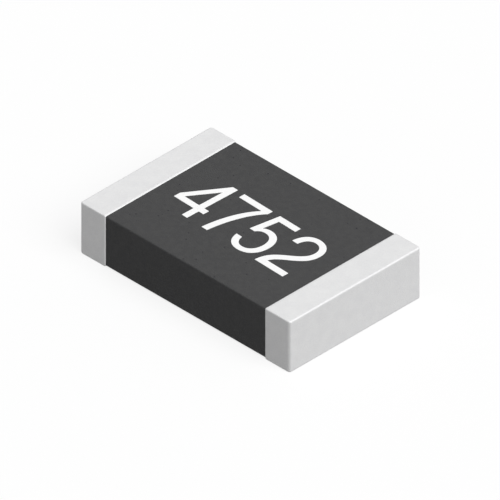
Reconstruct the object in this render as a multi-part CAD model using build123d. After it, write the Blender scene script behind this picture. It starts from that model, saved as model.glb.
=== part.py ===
from build123d import *

import os

# A ceramic chip capacitor for soldering flat on a board.
# The origin is under the middle of the chip, on the board. +X runs along the length, +Z is up.

# The whole chip, measured over its plated ends, in mm
CHIP_LENGTH = 2.0
CHIP_WIDTH = 1.25
CHIP_HEIGHT = 0.42

# Each metal end wraps its end face and this much of the four long faces
BAND_LENGTH = 0.24

# The three metal coats of an end, from the ceramic outwards
COPPER_ON_BAND = 0.0025
COPPER_ON_END_FACE = 0.015
NICKEL_THICKNESS = 0.0015
TIN_THICKNESS = 0.002

# Every edge and corner of the bare ceramic, as tumbling rounds it
EDGE_RADIUS = 0.008

# The stack of plates inside: alternate plates reach opposite end faces
PLATES_PER_END = 10
PLATE_THICKNESS = 0.0015
COVER_THICKNESS = 0.050
SIDE_MARGIN = 0.100
END_GAP = 0.100

# Sizes that follow from those above
MID_HEIGHT = CHIP_HEIGHT / 2
BAND_START = CHIP_LENGTH / 2 - BAND_LENGTH
PLATING = NICKEL_THICKNESS + TIN_THICKNESS
COAT_ON_BAND = COPPER_ON_BAND + PLATING
COAT_ON_END_FACE = COPPER_ON_END_FACE + PLATING
BLOCK_LENGTH = CHIP_LENGTH - 2 * COAT_ON_END_FACE
BLOCK_WIDTH = CHIP_WIDTH - 2 * COAT_ON_BAND
BLOCK_HEIGHT = CHIP_HEIGHT - 2 * COAT_ON_BAND

PLATE_COUNT = 2 * PLATES_PER_END
PLATE_LENGTH = BLOCK_LENGTH - END_GAP
PLATE_WIDTH = BLOCK_WIDTH - 2 * SIDE_MARGIN
STACK_HEIGHT = BLOCK_HEIGHT - 2 * COVER_THICKNESS
PLATE_PITCH = (STACK_HEIGHT - PLATE_THICKNESS) / (PLATE_COUNT - 1)


def plate(index):
    """One plate of the stack, counted from the lowest; even ones reach the -X end face."""
    towards = 1 if index % 2 else -1
    height = MID_HEIGHT + (index - (PLATE_COUNT - 1) / 2) * PLATE_PITCH
    return Pos(towards * END_GAP / 2, 0, height) * Box(PLATE_LENGTH, PLATE_WIDTH, PLATE_THICKNESS)


def plates_from(lowest):
    """Every second plate of the stack, which all reach the same end."""
    return [plate(index) for index in range(lowest, PLATE_COUNT, 2)]


def coated_block(on_band, on_end_face):
    """The ceramic block grown evenly by coats, so its round edges grow with them."""
    block = Box(
        BLOCK_LENGTH + 2 * on_end_face,
        BLOCK_WIDTH + 2 * on_band,
        BLOCK_HEIGHT + 2 * on_band,
    )
    return Pos(0, 0, MID_HEIGHT) * fillet(block.edges(), EDGE_RADIUS + on_band)


def coated_end(on_band, on_end_face, band_start):
    """The +X end of the coated block, from where the coat's band starts."""
    return split(coated_block(on_band, on_end_face), Plane.YZ.offset(band_start), Keep.TOP)


def coats_of_end(block):
    """The copper, nickel and tin of the +X end, each a shell between its own outside and the next."""
    copper = coated_end(COPPER_ON_BAND, COPPER_ON_END_FACE, BAND_START + PLATING)
    nickel = coated_end(
        COPPER_ON_BAND + NICKEL_THICKNESS,
        COPPER_ON_END_FACE + NICKEL_THICKNESS,
        BAND_START + TIN_THICKNESS,
    )
    # Plating grows round the copper's square rim, so the lip left on the tin is an arc about it
    tin = coated_end(COAT_ON_BAND, COAT_ON_END_FACE, BAND_START)
    tin = fillet(tin.faces().sort_by(Axis.X)[0].edges(), PLATING)
    return {
        "copper_termination": copper - block,
        "nickel_barrier": nickel - copper - block,
        "tin_plating": tin - nickel - block,
    }


def chip_parts():
    """Every sub-part of the chip, by name."""
    left_plates = plates_from(0)
    right_plates = plates_from(1)
    block = coated_block(0, 0)
    parts = {
        "ceramic_body": block - left_plates - right_plates,
        "left_electrodes": Compound(left_plates),
        "right_electrodes": Compound(right_plates),
    }
    for name, coat in coats_of_end(block).items():
        parts["right_" + name] = coat
        parts["left_" + name] = coat.mirror(Plane.YZ)
    return parts


os.makedirs("parts", exist_ok=True)
for name, shape in chip_parts().items():
    export_step(shape, os.path.join("parts", name + ".step"))
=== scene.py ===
"""The looks of a ceramic chip capacitor: a dark fired block, two tinned ends and a printed value."""

import logging
import math
from collections.abc import Callable
from dataclasses import dataclass, field
from enum import Enum
from typing import Any, NamedTuple

import bmesh
import bpy
from mathutils import Matrix, Vector


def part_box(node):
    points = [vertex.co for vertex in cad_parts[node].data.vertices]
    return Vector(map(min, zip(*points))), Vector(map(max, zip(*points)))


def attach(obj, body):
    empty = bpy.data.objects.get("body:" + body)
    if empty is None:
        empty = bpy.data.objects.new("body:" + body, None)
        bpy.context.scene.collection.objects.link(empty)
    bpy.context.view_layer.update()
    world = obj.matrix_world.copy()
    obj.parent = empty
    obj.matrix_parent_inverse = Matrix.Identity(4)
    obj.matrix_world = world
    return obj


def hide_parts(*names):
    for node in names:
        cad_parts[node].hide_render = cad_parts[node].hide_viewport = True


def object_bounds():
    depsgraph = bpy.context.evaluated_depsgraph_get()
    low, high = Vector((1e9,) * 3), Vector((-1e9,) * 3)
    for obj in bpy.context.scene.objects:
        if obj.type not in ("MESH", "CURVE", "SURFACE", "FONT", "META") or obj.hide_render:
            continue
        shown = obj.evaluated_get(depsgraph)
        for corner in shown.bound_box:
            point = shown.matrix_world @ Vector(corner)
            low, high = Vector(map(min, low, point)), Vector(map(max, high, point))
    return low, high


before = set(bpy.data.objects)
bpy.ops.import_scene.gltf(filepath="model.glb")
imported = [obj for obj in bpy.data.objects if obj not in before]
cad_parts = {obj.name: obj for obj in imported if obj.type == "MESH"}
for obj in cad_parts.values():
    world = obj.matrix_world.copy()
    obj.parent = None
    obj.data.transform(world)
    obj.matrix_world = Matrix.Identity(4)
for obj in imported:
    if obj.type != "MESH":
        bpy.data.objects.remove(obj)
CAD_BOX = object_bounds()

log = logging.getLogger("chip")

# Sizes below are in millimetres, and this turns them into metres
MM = 0.001
ROOT_BODY = "root"

# How a vector numbers its axes
X, Y, Z = 0, 1, 2
# Points closer than this count as one
SAME_PLACE = 0.00005
# Faces share their shading up to this angle between them
SHARPEST_SHARED = math.cos(math.radians(60))
# How many facets a round edge has
ROUND_SEGMENTS = 8

WHITE = "#ffffff"
# A noise texture seldom goes outside these two values
NOISE_LOW, NOISE_HIGH = 0.3, 0.7
# About how far a crystal's cell reaches from its middle, where the cells are one apart
CELL_EDGE = 0.8
# The numbers of a Mix node's inputs: its factor, its two values and its two colours
MIX_FACTOR, MIX_LOW, MIX_HIGH, MIX_LOW_COLOUR, MIX_HIGH_COLOUR = 0, 2, 3, 6, 7
# The number of the output in which a Mix node gives a colour
MIXED_COLOUR = 2


def linear(hex_code: str) -> tuple[float, float, float, float]:
    """Turn an sRGB colour into the linear colour that a shader takes.

    Args:
        hex_code: The colour as six hexadecimal digits after a #.

    Returns:
        Linear red, green and blue, and an alpha of one.
    """
    channels = [int(hex_code[i : i + 2], 16) / 255 for i in (1, 3, 5)]
    # The numbers of this curve are those of the sRGB standard
    bent = [c / 12.92 if c <= 0.04045 else ((c + 0.055) / 1.055) ** 2.4 for c in channels]
    return (bent[0], bent[1], bent[2], 1.0)


def add_node(
    tree: bpy.types.NodeTree,
    kind: str,
    settings: dict[str, Any] | None = None,
    inputs: dict[str | int, Any] | None = None,
) -> bpy.types.Node:
    """Add a node with its settings, and fill its inputs.

    Args:
        tree: The node tree that gets the node.
        kind: The node's type.
        settings: The node's own properties, by name.
        inputs: A constant, or the output that feeds it, for each input by its name or number.

    Returns:
        The new node.
    """
    node = tree.nodes.new(kind)
    for name, value in (settings or {}).items():
        setattr(node, name, value)
    for name, value in (inputs or {}).items():
        if isinstance(value, bpy.types.NodeSocket):
            tree.links.new(value, node.inputs[name])
        else:
            node.inputs[name].default_value = value
    return node


def corner_normals(bm: bmesh.types.BMesh) -> list[Vector]:
    """Give each face corner a normal that the widest face there rules, so that flats shade flat.

    Args:
        bm: The mesh, in millimetres.

    Returns:
        The normals, corner by corner. Faces that meet at a sharp angle share none.
    """
    bm.normal_update()
    normals = []
    for face in bm.faces:
        for vert in face.verts:
            alike = [f for f in vert.link_faces if f.normal.dot(face.normal) > SHARPEST_SHARED]
            total = sum((f.normal * f.calc_area() ** 2 for f in alike), Vector())
            normals.append(total.normalized())
    return normals


def to_object(bm: bmesh.types.BMesh, name: str) -> bpy.types.Object:
    """Turn a mesh in millimetres into a smooth-shaded object in metres, placed by its mesh.

    Args:
        bm: The mesh, which is freed.
        name: The piece's name.

    Returns:
        The piece, at the origin.
    """
    normals = corner_normals(bm)
    bmesh.ops.scale(bm, vec=(MM, MM, MM), verts=bm.verts)
    for face in bm.faces:
        face.smooth = True
    mesh = bpy.data.meshes.new(name)
    bm.to_mesh(mesh)
    bm.free()
    mesh.normals_split_custom_set(normals)
    piece = bpy.data.objects.new(name, mesh)
    bpy.context.scene.collection.objects.link(piece)
    return piece


class Skin(NamedTuple):
    """What a finish's pattern gives at each point of a surface.

    The shade runs from nought at the low colour to one at the high one, and the dullness from
    nought at the glossiest to one at the dullest. The height is a real one, in millimetres.
    """

    shade: bpy.types.NodeSocket
    dullness: bpy.types.NodeSocket
    height: bpy.types.NodeSocket


@dataclass(frozen=True)
class Finish:
    """A surface finish. Each kind adds a pattern of its own to the colour, gloss and relief.

    The roughness strays from its middle by the unevenness, to either side.
    """

    name: str
    low_colour: str
    high_colour: str
    roughness: float
    metallic: float
    specular: float = 0.5
    unevenness: float = 0.08

    def build(self) -> bpy.types.Material:
        """Make the material.

        Returns:
            The new material.
        """
        material = bpy.data.materials.new(self.name)
        material.use_nodes = True
        tree = material.node_tree
        tree.nodes.clear()
        place = add_node(tree, "ShaderNodeTexCoord").outputs["Object"]
        skin = self.skin(tree, place)
        # In a pit, the painted shade takes the shade under nought, past the low colour, so nothing
        # clamps it
        colour = add_node(
            tree,
            "ShaderNodeMix",
            settings={"data_type": "RGBA", "clamp_factor": False},
            inputs={
                MIX_FACTOR: skin.shade,
                MIX_LOW_COLOUR: linear(self.low_colour),
                MIX_HIGH_COLOUR: linear(self.high_colour),
            },
        )
        dullness = add_node(
            tree,
            "ShaderNodeMapRange",
            inputs={
                "Value": skin.dullness,
                "To Min": self.roughness - self.unevenness,
                "To Max": self.roughness + self.unevenness,
            },
        )
        relief = add_node(
            tree, "ShaderNodeBump", inputs={"Distance": MM, "Height": skin.height}
        )
        shader = add_node(
            tree,
            "ShaderNodeBsdfPrincipled",
            inputs={
                "Base Color": colour.outputs[MIXED_COLOUR],
                "Roughness": dullness.outputs["Result"],
                "Normal": relief.outputs["Normal"],
                "Metallic": self.metallic,
                "Specular IOR Level": self.specular,
            },
        )
        add_node(tree, "ShaderNodeOutputMaterial", inputs={"Surface": shader.outputs["BSDF"]})
        return material

    def skin(self, tree: bpy.types.NodeTree, place: bpy.types.NodeSocket) -> Skin:
        """Add the finish's own pattern.

        Args:
            tree: The material's node tree.
            place: The object coordinates, in metres.

        Returns:
            What the pattern gives.
        """
        raise NotImplementedError


def add_clouds(
    tree: bpy.types.NodeTree, place: bpy.types.NodeSocket, width: float, detail: float
) -> bpy.types.NodeSocket:
    """Add soft clouds.

    Args:
        tree: The material's node tree.
        place: The object coordinates, in metres.
        width: How wide a cloud is, in millimetres.
        detail: How many finer octaves lie on each cloud.

    Returns:
        A value from nought to one, about a half on the whole.
    """
    per_metre = 1 / (width * MM)
    spread = add_node(
        tree, "ShaderNodeMapping", inputs={"Vector": place, "Scale": (per_metre,) * 3}
    )
    noise = add_node(
        tree,
        "ShaderNodeTexNoise",
        inputs={"Vector": spread.outputs[0], "Scale": 1.0, "Detail": detail},
    )
    fuller = add_node(
        tree,
        "ShaderNodeMapRange",
        settings={"interpolation_type": "SMOOTHSTEP"},
        inputs={"Value": noise.outputs["Fac"], "From Min": NOISE_LOW, "From Max": NOISE_HIGH},
    )
    return fuller.outputs["Result"]


def add_crystals(
    tree: bpy.types.NodeTree, place: bpy.types.NodeSocket, width: float, height: float
) -> tuple[bpy.types.NodeSocket, bpy.types.NodeSocket]:
    """Add close-packed crystals with domed tops.

    Args:
        tree: The material's node tree.
        place: The object coordinates, in metres.
        width: How wide a crystal is, in millimetres.
        height: How high its dome is, in millimetres.

    Returns:
        A tone for each crystal, from nought to one, and the height of its dome at each point.
    """
    per_metre = 1 / (width * MM)
    spread = add_node(
        tree, "ShaderNodeMapping", inputs={"Vector": place, "Scale": (per_metre,) * 3}
    )
    cells = add_node(
        tree, "ShaderNodeTexVoronoi", inputs={"Vector": spread.outputs[0], "Scale": 1.0}
    )
    domes = add_node(
        tree,
        "ShaderNodeMapRange",
        settings={"interpolation_type": "SMOOTHSTEP"},
        inputs={
            "Value": cells.outputs["Distance"],
            "From Max": CELL_EDGE,
            "To Min": height,
            "To Max": 0.0,
        },
    )
    return cells.outputs["Color"], domes.outputs["Result"]


@dataclass(frozen=True)
class FiredCeramic(Finish):
    """Fired ceramic: a faint mottle, fine crystals, and a few pits where crystals broke out.

    The crystals' share is what they add to the shade beside the mottle. The pits' share is how
    many of their cells hold one. A pit's rim and floor are heights on its cell's dome, one high.
    Each pit is sunk in the relief, and its colour is darkened as painted shade for its shadow.
    """

    mottle_width: float = 0.045
    mottle_detail: float = 4.0
    crystal_width: float = 0.007
    crystal_height: float = 0.0014
    crystal_share: float = 0.6
    pit_spacing: float = 0.03
    pit_share: float = 0.18
    pit_rim: float = 0.8
    pit_floor: float = 0.95
    pit_depth: float = 0.002
    # How far the painted shade darkens a pit's colour, in steps of the shade
    pit_painted_shade: float = 2.5

    def skin(self, tree: bpy.types.NodeTree, place: bpy.types.NodeSocket) -> Skin:
        """Add the mottle, the crystals and the pits.

        Args:
            tree: The material's node tree.
            place: The object coordinates, in metres.

        Returns:
            What the pattern gives.
        """
        mottle = add_clouds(tree, place, self.mottle_width, self.mottle_detail)
        tones, domes = add_crystals(tree, place, self.crystal_width, self.crystal_height)
        shade = add_node(
            tree,
            "ShaderNodeMix",
            inputs={MIX_FACTOR: self.crystal_share, MIX_LOW: mottle, MIX_HIGH: tones},
        )
        pits = self.add_pits(tree, place)
        # Painted shade: the pits' colour is darkened to stand in for the shadow in them
        shade_with_painted_pits = add_node(
            tree,
            "ShaderNodeMath",
            settings={"operation": "MULTIPLY_ADD"},
            inputs={0: pits, 1: -self.pit_painted_shade, 2: shade.outputs[0]},
        )
        sunk = add_node(
            tree,
            "ShaderNodeMath",
            settings={"operation": "MULTIPLY_ADD"},
            inputs={0: pits, 1: -self.pit_depth, 2: domes},
        )
        return Skin(shade_with_painted_pits.outputs[0], tones, sunk.outputs[0])

    def add_pits(
        self, tree: bpy.types.NodeTree, place: bpy.types.NodeSocket
    ) -> bpy.types.NodeSocket:
        """Add round pits in a few cells, which are drawn by lot from the cells' tones.

        Args:
            tree: The material's node tree.
            place: The object coordinates, in metres.

        Returns:
            One on a pit's floor and nought outside the pits.
        """
        lots, cores = add_crystals(tree, place, self.pit_spacing, 1.0)
        chosen = add_node(
            tree,
            "ShaderNodeMath",
            settings={"operation": "GREATER_THAN"},
            inputs={0: lots, 1: 1 - self.pit_share},
        )
        hollow = add_node(
            tree,
            "ShaderNodeMapRange",
            settings={"interpolation_type": "SMOOTHSTEP"},
            inputs={"Value": cores, "From Min": self.pit_rim, "From Max": self.pit_floor},
        )
        pits = add_node(
            tree,
            "ShaderNodeMath",
            settings={"operation": "MULTIPLY"},
            inputs={0: chosen.outputs[0], 1: hollow.outputs[0]},
        )
        return pits.outputs[0]


@dataclass(frozen=True)
class MatteTin(Finish):
    """Matte plating: domed crystals, each with its own tone, over faint clouds of the bath.

    The crystals' share is what they add to the shade beside the clouds.
    """

    cloud_width: float = 0.09
    cloud_height: float = 0.0006
    cloud_detail: float = 5.0
    crystal_width: float = 0.008
    crystal_height: float = 0.0008
    crystal_share: float = 0.6

    def skin(self, tree: bpy.types.NodeTree, place: bpy.types.NodeSocket) -> Skin:
        """Add the crystals and the clouds of the bath.

        Args:
            tree: The material's node tree.
            place: The object coordinates, in metres.

        Returns:
            What the pattern gives.
        """
        clouds = add_clouds(tree, place, self.cloud_width, self.cloud_detail)
        tones, domes = add_crystals(tree, place, self.crystal_width, self.crystal_height)
        shade = add_node(
            tree,
            "ShaderNodeMix",
            inputs={MIX_FACTOR: self.crystal_share, MIX_LOW: clouds, MIX_HIGH: tones},
        )
        height = add_node(
            tree,
            "ShaderNodeMath",
            settings={"operation": "MULTIPLY_ADD"},
            inputs={0: clouds, 1: self.cloud_height, 2: domes},
        )
        return Skin(shade.outputs[0], tones, height.outputs[0])


@dataclass(frozen=True)
class PrintedInk(Finish):
    """Stamped ink: an even film that is a little thicker here and thinner there."""

    cloud_width: float = 0.03
    cloud_height: float = 0.0004
    cloud_detail: float = 3.0

    def skin(self, tree: bpy.types.NodeTree, place: bpy.types.NodeSocket) -> Skin:
        """Add the slight unevenness of the film.

        Args:
            tree: The material's node tree.
            place: The object coordinates, in metres.

        Returns:
            What the pattern gives.
        """
        clouds = add_clouds(tree, place, self.cloud_width, self.cloud_detail)
        height = add_node(
            tree,
            "ShaderNodeMath",
            settings={"operation": "MULTIPLY"},
            inputs={0: clouds, 1: self.cloud_height},
        )
        return Skin(clouds, clouds, height.outputs[0])


@dataclass(frozen=True)
class GrainyMetal(Finish):
    """A metal grown or fired as crystals, each with a tone and a gloss of its own."""

    crystal_width: float = 0.01
    crystal_height: float = 0.001

    def skin(self, tree: bpy.types.NodeTree, place: bpy.types.NodeSocket) -> Skin:
        """Add the crystals, as Finish.skin says."""
        tones, domes = add_crystals(tree, place, self.crystal_width, self.crystal_height)
        return Skin(tones, tones, domes)


# Barium titanate, pressed, fired and tumbled with no glaze: a dense dark grey with a dull satin
# skin, whose grain scatters nearly all the gloss, so that the white floor hardly shows in it.
# Its crystals are about a thousandth of a millimetre wide, so they are drawn coarser, to show.
FIRED_CERAMIC = FiredCeramic(
    "fired_ceramic", "#434344", "#4d4d4d", roughness=0.6, metallic=0.0, specular=0.08
)
# Matte tin from the plating bath, left as it comes. Its crystals scatter light so evenly that it
# looks a soft pale grey, nearer to paint than to a mirror, so it is given as only partly
# metallic. They are a few thousandths of a millimetre wide, and are drawn coarser, to show.
MATTE_TIN = MatteTin(
    "matte_tin", "#e0e0e1", "#e9e9e9", roughness=0.5, metallic=0.15, specular=0.3
)
# White epoxy ink, stamped on and baked: a thin satin film that hides the dark ceramic fully
WHITE_INK = PrintedInk(
    "white_epoxy_ink", "#fcfcfc", WHITE, roughness=0.5, metallic=0.0, specular=0.3, unevenness=0.05
)
# Electroplated nickel: a close-grained satin grey with a slight yellow. Its grain is finer than
# a thousandth of a millimetre, so it is drawn coarser, to show.
PLATED_NICKEL = GrainyMetal(
    "plated_nickel", "#aaa59b", "#c4bfb4", roughness=0.35, metallic=1.0, crystal_width=0.006
)
# Copper paste, dipped on and fired: a dull brownish pink. Its grains are a few thousandths of a
# millimetre wide, and are drawn coarser, to show.
FIRED_COPPER = GrainyMetal(
    "fired_copper", "#a8694a", "#c38460", roughness=0.55, metallic=1.0, crystal_width=0.012
)
# Nickel paste, printed as thin sheets and fired with the ceramic: a dull grey, a little darker.
# Its grains are about a thousandth of a millimetre wide, so they are drawn coarser, to show.
SINTERED_NICKEL = GrainyMetal(
    "sintered_nickel", "#857f77", "#a8a299", roughness=0.6, metallic=1.0
)


class End(Enum):
    """The chip's two ends, each with the direction along X in which it points."""

    LEFT = -1
    RIGHT = 1

    def named(self, kind: str) -> str:
        """Name this end's piece of a kind."""
        return f"{self.name.lower()}_{kind}"


@dataclass(frozen=True)
class Extent:
    """A box along the axes, in millimetres."""

    low: Vector
    high: Vector

    @classmethod
    def of_node(cls, node: str) -> "Extent":
        """Read the box of a construction node, named by node."""
        low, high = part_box(node)
        return cls(low / MM, high / MM)

    @property
    def size(self) -> Vector:
        """The box's lengths along the axes."""
        return self.high - self.low

    @property
    def centre(self) -> Vector:
        """The middle of the box."""
        return (self.low + self.high) / 2

    def outermost(self, end: End) -> float:
        """Say where along X the box stops towards an end of the chip."""
        return self.high.x if end is End.RIGHT else self.low.x

    def innermost(self, end: End) -> float:
        """Say where along X the box stops towards the middle of the chip."""
        return self.low.x if end is End.RIGHT else self.high.x

    def beyond(self, start: float, end: End) -> "Extent":
        """Keep only what lies towards an end of the chip.

        Args:
            start: Where along X that starts.
            end: The end of the chip.

        Returns:
            The shorter box.
        """
        low, high = self.low.copy(), self.high.copy()
        if end is End.RIGHT:
            low.x = start
        else:
            high.x = start
        return Extent(low, high)

    def as_mesh(self) -> bmesh.types.BMesh:
        """Make the box.

        Returns:
            The mesh, of six faces.
        """
        bm = bmesh.new()
        bmesh.ops.create_cube(bm, size=1.0)
        bmesh.ops.scale(bm, vec=self.size, verts=bm.verts)
        bmesh.ops.translate(bm, vec=self.centre, verts=bm.verts)
        return bm


def lies_at(part: bmesh.types.BMEdge | bmesh.types.BMFace, axis: int, place: float) -> bool:
    """Say whether an edge or a face lies in the plane at a place along an axis."""
    return all(abs(vert.co[axis] - place) < SAME_PLACE for vert in part.verts)


def round_edges(
    bm: bmesh.types.BMesh,
    edges: list[bmesh.types.BMEdge],
    radius: float,
    segments: int = ROUND_SEGMENTS,
) -> None:
    """Round some edges of a mesh.

    Args:
        bm: The mesh.
        edges: The edges.
        radius: The radius, in millimetres.
        segments: How many facets each round has.
    """
    bmesh.ops.bevel(
        bm,
        geom=edges,
        offset=radius,
        offset_type="OFFSET",
        affect="EDGES",
        segments=segments,
        profile=0.5,
        material=-1,
        clamp_overlap=True,
    )


@dataclass(frozen=True)
class RoundedBox:
    """A box with round upright corners, and round edges above and below them.

    One end may stay square, because something goes on from it.
    """

    box: Extent
    corner_radius: float
    edge_radius: float
    square_at: float | None = None

    def as_mesh(self) -> bmesh.types.BMesh:
        """Make the rounded box.

        Returns:
            The mesh, with all its faces.
        """
        bm = self.box.as_mesh()
        free = self.free_edges(bm)
        upright = [e for e in free if abs(e.verts[0].co.z - e.verts[1].co.z) > SAME_PLACE]
        round_edges(bm, upright, self.corner_radius)
        levels = (self.box.low.z, self.box.high.z)
        around = [e for e in self.free_edges(bm) if any(lies_at(e, Z, level) for level in levels)]
        round_edges(bm, around, self.edge_radius)
        return bm

    def free_edges(self, bm: bmesh.types.BMesh) -> list[bmesh.types.BMEdge]:
        """List the edges of the mesh that may be rounded."""
        return [e for e in bm.edges if self.square_at is None or not lies_at(e, X, self.square_at)]

    def matching(self, point: Vector, other: "RoundedBox") -> Vector:
        """Find the point of another box's section that matches a point of this one's.

        Args:
            point: A point of this box's section across X.
            other: The other box, about the same middle line.

        Returns:
            The matching point, in the same place along X.
        """
        found = point.copy()
        for axis in (Y, Z):
            middle = self.box.centre[axis]
            off_middle = abs(point[axis] - middle)
            into_corner = off_middle - (self.box.size[axis] / 2 - self.edge_radius)
            goal = other.box.size[axis] / 2 - other.edge_radius
            goal += into_corner * other.edge_radius / self.edge_radius
            found[axis] = middle + math.copysign(goal, point[axis] - middle)
        return found


@dataclass
class CeramicBlock:
    """The fired block between and under the metal ends."""

    node: str = "ceramic_body"
    name: str = "ceramic_block"
    corner_radius: float = 0.012
    edge_radius: float = 0.010

    def rounded(self, start: float | None = None, end: End = End.RIGHT) -> RoundedBox:
        """Give the block's form, or that of one end of it.

        Args:
            start: Where the end of the block starts along X, or nothing for the whole block.
            end: Which end of it.

        Returns:
            The form, square where it starts.
        """
        box = Extent.of_node(self.node)
        box = box if start is None else box.beyond(start, end)
        return RoundedBox(box, self.corner_radius, self.edge_radius, start)

    def build(self) -> bpy.types.Object:
        """Make and dress the block.

        Returns:
            The block.
        """
        piece = to_object(self.rounded().as_mesh(), self.name)
        piece.data.materials.append(FIRED_CERAMIC.build())
        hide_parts(self.node)
        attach(piece, ROOT_BODY)
        return piece


@dataclass(frozen=True)
class Lip:
    """The arc in which a coat's band comes down to the block where it stops."""

    radius: float
    drop: float

    @property
    def turn(self) -> float:
        """The angle that the arc turns through before it meets the block."""
        return math.acos(1 - self.drop / self.radius)

    def reach(self, share: float = 1.0) -> float:
        """Say how far along X the arc goes in a share of its turn."""
        return self.radius * math.sin(self.turn * share)

    def descent(self, share: float) -> float:
        """Say what share of the drop the arc has made in a share of its turn."""
        return self.radius * (1 - math.cos(self.turn * share)) / self.drop


class Coat(NamedTuple):
    """One metal coat of an end: what its node is called after the end's name, and its finish."""

    kind: str
    finish: Finish


@dataclass
class MetalEnd:
    """The three metal coats of one end: copper on the block, then nickel, then tin.

    Each is a thin shell over the end face and a band of the four long faces. Its outside is a box
    with round edges, rounder at the tip than along the chip, as dipping leaves it. Where the band
    stops, its lip curves down to the block. The lips are arcs about one line, so that each coat
    keeps its thickness there. The radii are those of the outermost coat.
    """

    end: End
    block: CeramicBlock
    coats: tuple[Coat, ...] = (
        Coat("copper_termination", FIRED_COPPER),
        Coat("nickel_barrier", PLATED_NICKEL),
        Coat("tin_plating", MATTE_TIN),
    )
    corner_radius: float = 0.0175
    edge_radius: float = 0.009
    lip_radius: float = 0.0205
    lip_segments: int = 6
    rounder_tip: float = 1.6
    boxes: list[Extent] = field(init=False)
    lip_line: float = field(init=False)

    def __post_init__(self) -> None:
        """Read the boxes of the coats, and find the line that their lips curve about."""
        self.boxes = [Extent.of_node(self.end.named(coat.kind)) for coat in self.coats]
        self.lip_line = self.boxes[-1].innermost(self.end) + self.end.value * self.lip(-1).reach()

    def depth(self, index: int) -> float:
        """Say how deep under the outermost coat's outside a coat's outside lies."""
        return self.boxes[-1].high.z - self.boxes[index].high.z

    def lip(self, index: int) -> Lip:
        """Give the lip of a coat."""
        drop = self.boxes[index].high.z - self.block.rounded().box.high.z
        return Lip(self.lip_radius - self.depth(index), drop)

    def build(self) -> list[bpy.types.Object]:
        """Make and dress the three coats, and give them from the copper outwards."""
        return [self.build_coat(index) for index in range(len(self.coats))]

    def build_coat(self, index: int) -> bpy.types.Object:
        """Make and dress one coat.

        Args:
            index: The coat's number, from the copper outwards.

        Returns:
            The coat.
        """
        kind, finish = self.coats[index]
        bm = self.outside(index)
        self.close(bm, self.outside(index - 1) if index else self.block_end())
        piece = to_object(bm, self.end.named(f"{kind}_coat"))
        piece.data.materials.append(finish.build())
        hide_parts(self.end.named(kind))
        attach(piece, ROOT_BODY)
        return piece

    def outside(self, index: int) -> bmesh.types.BMesh:
        """Make a coat's outside, open where the block enters it.

        Args:
            index: The coat's number, from the copper outwards.

        Returns:
            The skin.
        """
        corner, edge = (r - self.depth(index) for r in (self.corner_radius, self.edge_radius))
        box = self.boxes[index].beyond(self.lip_line, self.end)
        form = RoundedBox(box, corner, edge, self.lip_line)
        bm = form.as_mesh()
        self.round_tip(bm, form)
        self.draw_in(bm, form, self.lip(index))
        return bm

    def block_end(self) -> bmesh.types.BMesh:
        """Make the skin of the block's end, open at the copper's rim.

        Returns:
            The skin.
        """
        rim = self.lip_line - self.end.value * self.lip(0).reach()
        bm = self.block.rounded(rim, self.end).as_mesh()
        bmesh.ops.delete(bm, geom=[f for f in bm.faces if lies_at(f, X, rim)], context="FACES")
        return bm

    def round_tip(self, bm: bmesh.types.BMesh, form: RoundedBox) -> None:
        """Make the round edges of the tip larger, more and more from where its corners start.

        Args:
            bm: The coat's outside.
            form: Its form.
        """
        box, reach = form.box, form.corner_radius
        tip, extra = box.outermost(self.end), self.rounder_tip - 1
        for vert in bm.verts:
            from_tip = abs(tip - vert.co.x)
            level = box.high.z if vert.co.z > box.centre.z else box.low.z
            vert.co.z += (vert.co.z - level) * extra * max(0, 1 - from_tip / reach)
            if abs(vert.co.x - self.lip_line) > SAME_PLACE:
                vert.co.x -= self.end.value * min(from_tip, reach) * extra

    def draw_in(self, bm: bmesh.types.BMesh, form: RoundedBox, lip: Lip) -> None:
        """Go on from the square end with a lip that comes down to the block, and leave it open.

        Args:
            bm: The coat's outside.
            form: Its form before its tip was rounded.
            lip: The lip.
        """
        ring = next(f for f in bm.faces if lies_at(f, X, self.lip_line))
        tops = [v.co.copy() for v in ring.verts]
        feet = [form.matching(top, self.block.rounded()) for top in tops]
        for step in range(1, self.lip_segments + 1):
            share = step / self.lip_segments
            ring = bmesh.ops.extrude_discrete_faces(bm, faces=[ring])["faces"][0]
            for vert, top, foot in zip(ring.verts, tops, feet):
                vert.co = top.lerp(foot, lip.descent(share))
                vert.co.x -= self.end.value * lip.reach(share)
        bmesh.ops.delete(bm, geom=[ring], context="FACES")

    @staticmethod
    def close(bm: bmesh.types.BMesh, inner: bmesh.types.BMesh) -> None:
        """Close a coat's outside with the skin under it, where both are open.

        Args:
            bm: The coat's outside, which becomes the closed shell.
            inner: The skin under it, which is freed.
        """
        scratch = bpy.data.meshes.new("inner_skin")
        inner.to_mesh(scratch)
        inner.free()
        bm.from_mesh(scratch)
        bpy.data.meshes.remove(scratch)
        bmesh.ops.remove_doubles(bm, verts=bm.verts, dist=SAME_PLACE)
        openings = [edge for edge in bm.edges if edge.is_boundary]
        if openings:
            bmesh.ops.bridge_loops(bm, edges=openings)
        bmesh.ops.recalc_face_normals(bm, faces=bm.faces)


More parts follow.
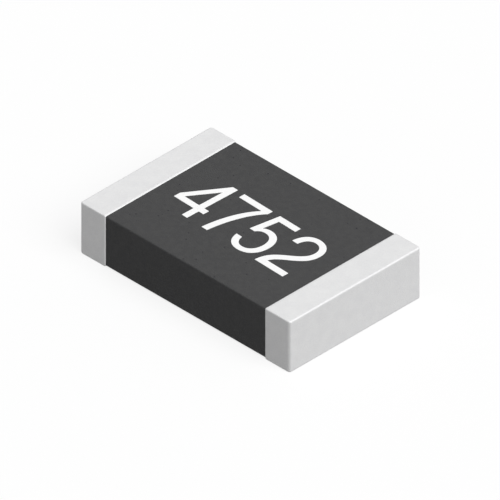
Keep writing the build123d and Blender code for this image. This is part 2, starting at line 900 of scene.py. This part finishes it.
@dataclass
class Pen:
    """Draws the closed outlines of one printed digit, in millimetres from its lower left corner."""

    curve: bpy.types.Curve
    corner: Vector
    spline: bpy.types.Spline | None = None

    def at(self, x: float, y: float) -> Vector:
        """Place a point of the digit on the print."""
        return self.corner + Vector((x, y, 0))

    def start(self, x: float, y: float) -> "Pen":
        """Start an outline at a point.

        Args:
            x: Where it lies along the print.
            y: Where it lies across the print.

        Returns:
            The pen.
        """
        self.spline = self.curve.splines.new("BEZIER")
        self.spline.use_cyclic_u = True
        return self.put_last(x, y)

    def put_last(self, x: float, y: float) -> "Pen":
        """Put the last point in its place, where a straight line ends and another starts.

        Args:
            x: Where it lies along the print.
            y: Where it lies across the print.

        Returns:
            The pen.
        """
        point = self.spline.bezier_points[-1]
        point.handle_left_type = point.handle_right_type = "VECTOR"
        point.co = self.at(x, y)
        return self

    def line(self, x: float, y: float) -> "Pen":
        """Draw a straight line to a point."""
        self.spline.bezier_points.add(1)
        return self.put_last(x, y)

    def bend(
        self, out_x: float, out_y: float, in_x: float, in_y: float, x: float, y: float
    ) -> "Pen":
        """Draw a curve to a point.

        Args:
            out_x: Where the curve heads at first, along the print.
            out_y: The same, across the print.
            in_x: Where it comes from at last, along the print.
            in_y: The same, across the print.
            x: Where it ends, along the print.
            y: The same, across the print.

        Returns:
            The pen.
        """
        first = self.spline.bezier_points[-1]
        first.handle_right_type = "FREE"
        first.handle_right = self.at(out_x, out_y)
        self.line(x, y)
        last = self.spline.bezier_points[-1]
        last.handle_left_type = "FREE"
        last.handle_left = self.at(in_x, in_y)
        return self


def draw_two(pen: Pen) -> None:
    """Draw a 2.

    Args:
        pen: The digit's pen.
    """
    pen.start(0, 0).line(0.273, 0).line(0.273, 0.054).line(0.066, 0.054)
    pen.bend(0.077, 0.094, 0.112, 0.122, 0.155, 0.155)
    pen.bend(0.229, 0.211, 0.280, 0.254, 0.280, 0.342)
    pen.bend(0.280, 0.420, 0.225, 0.475, 0.145, 0.475)
    pen.bend(0.068, 0.475, 0.017, 0.421, 0.013, 0.335)
    pen.line(0.064, 0.335)
    pen.bend(0.068, 0.393, 0.098, 0.429, 0.145, 0.429)
    pen.bend(0.195, 0.429, 0.229, 0.393, 0.229, 0.342)
    pen.bend(0.229, 0.284, 0.193, 0.249, 0.131, 0.202)
    pen.bend(0.056, 0.145, 0.005, 0.103, 0, 0)


def draw_four(pen: Pen) -> None:
    """Draw a 4, and the opening in it.

    Args:
        pen: The digit's pen.
    """
    pen.start(0, 0.109).line(0.194, 0.109).line(0.194, 0).line(0.244, 0).line(0.244, 0.109)
    pen.line(0.290, 0.109).line(0.290, 0.160).line(0.244, 0.160).line(0.244, 0.471)
    pen.line(0.198, 0.471).line(0, 0.166)
    pen.start(0.049, 0.160).line(0.194, 0.160).line(0.194, 0.382)


def draw_five(pen: Pen) -> None:
    """Draw a 5.

    Args:
        pen: The digit's pen.
    """
    pen.start(0.054, 0.471).line(0.256, 0.471).line(0.256, 0.420)
    pen.line(0.095, 0.420).line(0.076, 0.285)
    pen.bend(0.094, 0.301, 0.119, 0.309, 0.144, 0.309)
    pen.bend(0.221, 0.309, 0.275, 0.248, 0.275, 0.155)
    pen.bend(0.275, 0.058, 0.216, -0.004, 0.132, -0.004)
    pen.bend(0.058, -0.004, 0.009, 0.041, 0.001, 0.118)
    pen.line(0.053, 0.118)
    pen.bend(0.060, 0.071, 0.090, 0.042, 0.133, 0.042)
    pen.bend(0.186, 0.042, 0.223, 0.086, 0.223, 0.152)
    pen.bend(0.223, 0.220, 0.185, 0.263, 0.132, 0.263)
    pen.bend(0.101, 0.263, 0.077, 0.250, 0.064, 0.224)
    pen.line(0.016, 0.224)


def draw_seven(pen: Pen) -> None:
    """Draw a 7.

    Args:
        pen: The digit's pen.
    """
    pen.start(0.006, 0.471).line(0.283, 0.471).line(0.283, 0.428)
    pen.bend(0.209, 0.340, 0.152, 0.184, 0.137, 0)
    pen.line(0.084, 0)
    pen.bend(0.098, 0.175, 0.152, 0.330, 0.229, 0.420)
    pen.line(0.006, 0.420)


@dataclass
class ValueMarking:
    """The value printed on the top face, as four plain digits: 475 and two noughts of picofarads.

    The digits stand evenly along the chip, and the print as a whole lies a little off the middle
    and turned, as a stamp leaves it. Where an outline or a surface turns by no more than the
    plain turn, it counts as straight or flat.
    """

    name: str = "value_marking"
    node: str = "ceramic_body"
    digits: tuple[Callable[[Pen], None], ...] = (draw_four, draw_seven, draw_five, draw_two)
    advance: float = 0.304
    digit_width: float = 0.285
    digit_height: float = 0.471
    centre_x: float = -0.001
    centre_y: float = -0.019
    turn: float = math.radians(-1.85)
    film: float = 0.0024
    soft_edge: float = 0.0008
    soft_segments: int = 2
    curve_steps: int = 12
    plain_turn: float = math.radians(0.5)

    def build(self) -> bpy.types.Object:
        """Make and dress the print.

        Returns:
            The print.
        """
        bm = self.flat_digits()
        self.thicken(bm)
        top = Extent.of_node(self.node).high.z
        place = Matrix.Translation((self.centre_x, self.centre_y, top))
        turned = Matrix.Rotation(self.turn, 4, "Z")
        bmesh.ops.transform(bm, matrix=place @ turned, verts=bm.verts)
        piece = to_object(bm, self.name)
        piece.data.materials.append(WHITE_INK.build())
        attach(piece, ROOT_BODY)
        return piece

    def flat_digits(self) -> bmesh.types.BMesh:
        """Draw the digits side by side, and fill them.

        Returns:
            The mesh of the flat digits, about the middle of the print.
        """
        curve = bpy.data.curves.new(self.name, "CURVE")
        curve.dimensions = "2D"
        curve.fill_mode = "BOTH"
        curve.resolution_u = self.curve_steps
        for index, draw in enumerate(self.digits):
            middle = (index - (len(self.digits) - 1) / 2) * self.advance
            corner = Vector((middle - self.digit_width / 2, -self.digit_height / 2, 0))
            draw(Pen(curve, corner))
        flat = bpy.data.objects.new(self.name, curve)
        mesh = bpy.data.meshes.new_from_object(flat)
        bm = bmesh.new()
        bm.from_mesh(mesh)
        bpy.data.objects.remove(flat)
        bpy.data.curves.remove(curve)
        bpy.data.meshes.remove(mesh)
        return bm

    def thicken(self, bm: bmesh.types.BMesh) -> None:
        """Turn the flat digits into a film with a soft upper edge.

        Args:
            bm: The mesh of the flat digits.
        """
        bmesh.ops.remove_doubles(bm, verts=bm.verts, dist=SAME_PLACE)
        # The fill leaves slivers between points in a line, which these two take away
        inner = [edge for edge in bm.edges if not edge.is_boundary]
        bmesh.ops.beautify_fill(bm, faces=bm.faces, edges=inner)
        bmesh.ops.dissolve_limit(bm, angle_limit=self.plain_turn, verts=bm.verts, edges=bm.edges)
        rims = [edge for edge in bm.edges if edge.is_boundary]
        raised = bmesh.ops.extrude_face_region(bm, geom=bm.faces[:] + rims)["geom"]
        upper = [part for part in raised if isinstance(part, bmesh.types.BMVert)]
        bmesh.ops.translate(bm, vec=(0, 0, self.film), verts=upper)
        bmesh.ops.recalc_face_normals(bm, faces=bm.faces)
        around = [edge for edge in bm.edges if lies_at(edge, Z, self.film)]
        soft = [edge for edge in around if edge.calc_face_angle(0) > self.plain_turn]
        round_edges(bm, soft, self.soft_edge, self.soft_segments)


@dataclass
class Electrodes:
    """The sets of nickel plates inside the block, which stay as they were constructed."""

    kind: str = "electrodes"

    def dress(self) -> list[bpy.types.Object]:
        """Give both sets their material.

        Returns:
            The two sets.
        """
        material = SINTERED_NICKEL.build()
        sets = [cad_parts[end.named(self.kind)] for end in End]
        for plates in sets:
            plates.data.materials.clear()
            plates.data.materials.append(material)
        return sets


def towards(azimuth: float, elevation: float) -> Vector:
    """Give the direction from the chip to something that stands round it.

    Args:
        azimuth: The angle round it in degrees, nought at -Y and ninety at +X.
        elevation: The angle above the floor in degrees.

    Returns:
        The direction, one long.
    """
    turn, lift = math.radians(azimuth), math.radians(elevation)
    return Vector(
        (math.sin(turn) * math.cos(lift), -math.cos(turn) * math.cos(lift), math.sin(lift))
    )


@dataclass
class Lamp:
    """A distant soft lamp. Its place and its softness, how wide it looks, are in degrees."""

    name: str
    azimuth: float
    elevation: float
    strength: float
    softness: float

    def build(self) -> bpy.types.Object:
        """Make the lamp.

        Returns:
            The lamp.
        """
        light = bpy.data.lights.new(self.name, "SUN")
        light.energy = self.strength
        light.angle = math.radians(self.softness)
        lamp = bpy.data.objects.new(self.name, light)
        back = towards(self.azimuth, self.elevation)
        lamp.rotation_euler = (-back).to_track_quat("-Z", "Y").to_euler()
        bpy.context.scene.collection.objects.link(lamp)
        return lamp


@dataclass
class Studio:
    """The floor, the light and the camera.

    The floor and the sky look white to the camera and in reflections, and send the chip less
    light than that, so that its dark faces stay dark.
    """

    floor_radius: float = 150.0
    floor_sides: int = 96
    floor_drop: float = 0.0005
    floor_shown: str = "#fdfdfd"
    floor_bounce: str = "#606060"
    floor_glow: float = 0.8
    sky_fill: float = 0.32
    lamps: tuple[Lamp, ...] = (
        Lamp("key", azimuth=87.5, elevation=50.5, strength=2.69, softness=50.0),
    )
    azimuth: float = 44.97
    elevation: float = 35.22
    frame_width: float = 3.372
    aim_right: float = -0.0027
    aim_up: float = -0.0013
    camera_distance: float = 20.0
    nearest_seen: float = 0.2
    farthest_seen: float = 2000.0

    @staticmethod
    def seen_directly(tree: bpy.types.NodeTree) -> bpy.types.NodeSocket:
        """Add a value that is one to the camera, to reflections and through glass, else nought.

        Args:
            tree: The node tree of the floor or the sky.

        Returns:
            The value.
        """
        path = add_node(tree, "ShaderNodeLightPath")
        seen = path.outputs["Is Camera Ray"]
        for ray in ("Is Glossy Ray", "Is Transmission Ray"):
            either = add_node(
                tree,
                "ShaderNodeMath",
                settings={"operation": "MAXIMUM"},
                inputs={0: seen, 1: path.outputs[ray]},
            )
            seen = either.outputs[0]
        return seen

    def paper(self) -> bpy.types.Material:
        """Make the floor's material: matt white paper, with a glow that hides most of its shadow.

        Returns:
            The new material.
        """
        material = bpy.data.materials.new("paper_floor")
        material.use_nodes = True
        tree = material.node_tree
        tree.nodes.clear()
        seen = self.seen_directly(tree)
        colour = add_node(
            tree,
            "ShaderNodeMix",
            settings={"data_type": "RGBA"},
            inputs={
                MIX_FACTOR: seen,
                MIX_LOW_COLOUR: linear(self.floor_bounce),
                MIX_HIGH_COLOUR: linear(self.floor_shown),
            },
        )
        matt = add_node(
            tree, "ShaderNodeBsdfDiffuse", inputs={"Color": colour.outputs[MIXED_COLOUR]}
        )
        glow = add_node(
            tree, "ShaderNodeEmission", inputs={"Color": linear(WHITE), "Strength": 1.0}
        )
        share = add_node(
            tree,
            "ShaderNodeMapRange",
            inputs={"Value": seen, "To Min": 0.0, "To Max": self.floor_glow},
        )
        shader = add_node(
            tree,
            "ShaderNodeMixShader",
            inputs={
                0: share.outputs["Result"],
                1: matt.outputs["BSDF"],
                2: glow.outputs["Emission"],
            },
        )
        add_node(tree, "ShaderNodeOutputMaterial", inputs={"Surface": shader.outputs["Shader"]})
        return material

    def build_floor(self) -> bpy.types.Object:
        """Make the floor, just under the chip.

        Returns:
            The floor.
        """
        bm = bmesh.new()
        bmesh.ops.create_circle(
            bm, cap_ends=True, radius=self.floor_radius, segments=self.floor_sides
        )
        bmesh.ops.translate(bm, vec=(0, 0, -self.floor_drop), verts=bm.verts)
        floor = to_object(bm, "floor")
        floor.data.materials.append(self.paper())
        return floor

    def build_sky(self) -> None:
        """Make the even white surroundings."""
        world = bpy.data.worlds.new("studio_sky")
        world.use_nodes = True
        tree = world.node_tree
        tree.nodes.clear()
        strength = add_node(
            tree,
            "ShaderNodeMapRange",
            inputs={"Value": self.seen_directly(tree), "To Min": self.sky_fill, "To Max": 1.0},
        )
        sky = add_node(
            tree,
            "ShaderNodeBackground",
            inputs={"Color": linear(WHITE), "Strength": strength.outputs["Result"]},
        )
        add_node(tree, "ShaderNodeOutputWorld", inputs={"Surface": sky.outputs["Background"]})
        bpy.context.scene.world = world

    def build_camera(self) -> bpy.types.Object:
        """Make the camera, which looks at the chip without perspective, as in the photograph.

        Returns:
            The camera.
        """
        data = bpy.data.cameras.new("camera")
        data.type = "ORTHO"
        data.ortho_scale = self.frame_width * MM
        data.clip_start = self.nearest_seen * MM
        data.clip_end = self.farthest_seen * MM
        camera = bpy.data.objects.new("camera", data)
        back = towards(self.azimuth, self.elevation)
        turned = (-back).to_track_quat("-Z", "Y")
        middle = (CAD_BOX[0] + CAD_BOX[1]) / 2 / MM
        aside = turned @ Vector((self.aim_right, self.aim_up, 0))
        camera.location = (middle + aside + back * self.camera_distance) * MM
        camera.rotation_euler = turned.to_euler()
        bpy.context.scene.collection.objects.link(camera)
        bpy.context.scene.camera = camera
        return camera

    def build(self) -> None:
        """Make the floor, the light and the camera."""
        self.build_floor()
        self.build_sky()
        for lamp in self.lamps:
            lamp.build()
        self.build_camera()
        bpy.context.scene.view_settings.view_transform = "Standard"


def main() -> None:
    """Build and dress the chip, then the studio."""
    logging.basicConfig(level=logging.INFO, format="%(message)s")
    block = CeramicBlock()
    pieces = [block.build(), ValueMarking().build(), *Electrodes().dress()]
    for end in End:
        pieces += MetalEnd(end, block).build()
    for piece in pieces:
        log.info("%s: %d faces", piece.name, len(piece.data.polygons))
    Studio().build()


if __name__ == "__main__":
    main()
